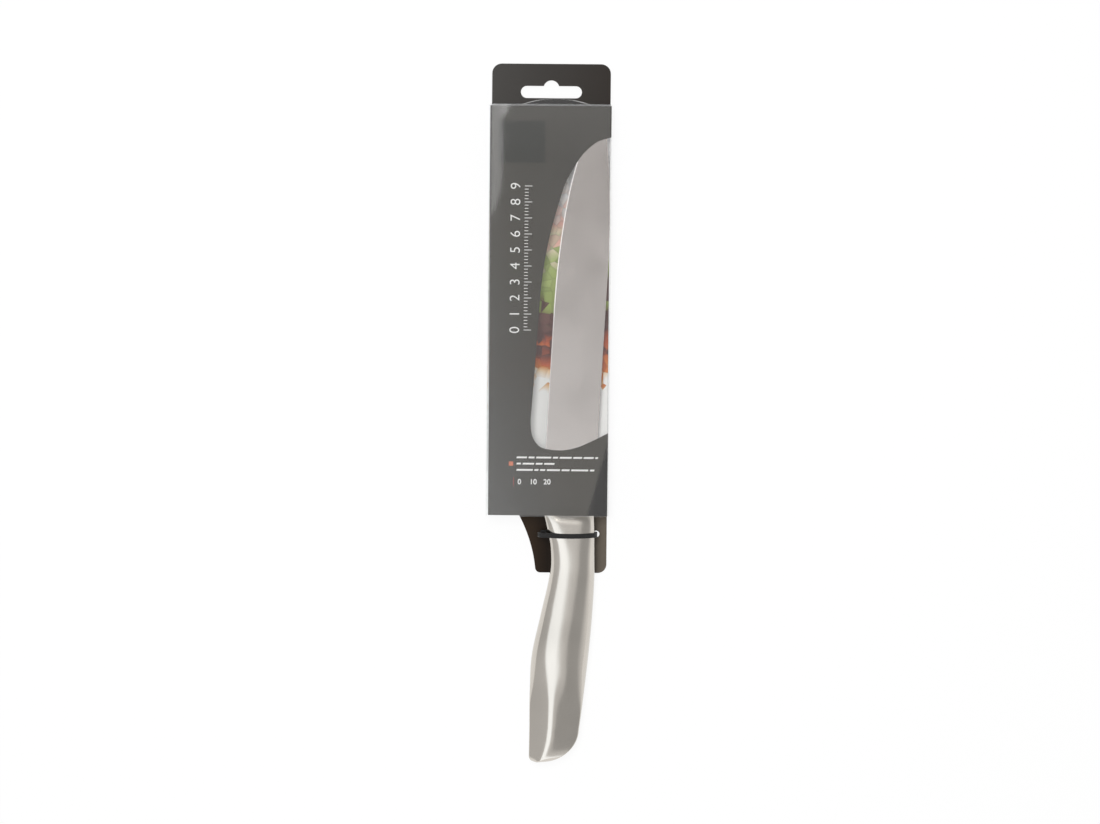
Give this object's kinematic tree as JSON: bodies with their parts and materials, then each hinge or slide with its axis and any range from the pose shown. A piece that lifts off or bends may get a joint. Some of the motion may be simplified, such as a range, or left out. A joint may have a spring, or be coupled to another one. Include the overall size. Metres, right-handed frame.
{
  "type": "carving knife",
  "caption": "Slim carving knife with a hollow steel handle, tied to a backing card with a hang slot, its blade inside a clear sleeve with a printed front and a hinged lid.",
  "frame": {"origin": "middle of the footprint on the table, with the pack lying on its back", "axes": "+X to the right and +Y towards the hang slot on the pack's face, +Z out of the face"},
  "size_m": [0.0622, 0.3569, 0.0201],
  "materials": {
    "blade_steel": "fine brushed stainless steel",
    "handle_steel": "satin stainless steel",
    "filler": "cast resin",
    "card": "black printed board",
    "insert_paper": "satin printed paper",
    "nylon": "moulded black nylon",
    "clear_sheet": "clear folded sheet",
    "smoky_print": "translucent dark grey print behind the clear sheet"
  },
  "bodies": {
    "card": {"backing_card": "card", "picture_insert": "insert_paper", "tie_strap": "nylon", "tie_head": "nylon"},
    "knife": {"blade": "blade_steel", "bolster": "handle_steel", "handle_front_shell": "handle_steel", "handle_back_shell": "handle_steel", "tang_filler": "filler", "butt_cap": "handle_steel"},
    "sleeve": {"front_panel": "clear_sheet", "back_panel": "clear_sheet", "left_panel": "clear_sheet", "right_panel": "clear_sheet", "glue_flap": "clear_sheet", "front_print": "smoky_print"},
    "lid": {"lid_panel": "clear_sheet", "lid_tongue": "clear_sheet"}
  },
  "joints": [
    {"name": "knife_slide", "type": "slide", "parent": "card", "child": "knife", "axis": [-0.0509, -0.9987, 0], "range_m": [0, 0.25]},
    {"name": "sleeve_slide", "type": "slide", "parent": "card", "child": "sleeve", "axis": [0, 1, 0], "range_m": [0, 0.24]},
    {"name": "lid_hinge", "type": "hinge", "parent": "sleeve", "child": "lid", "pos_m": [0, 0.15474, 0.01988], "axis": [1, 0, 0], "range_deg": [0, 100]}
  ]
}
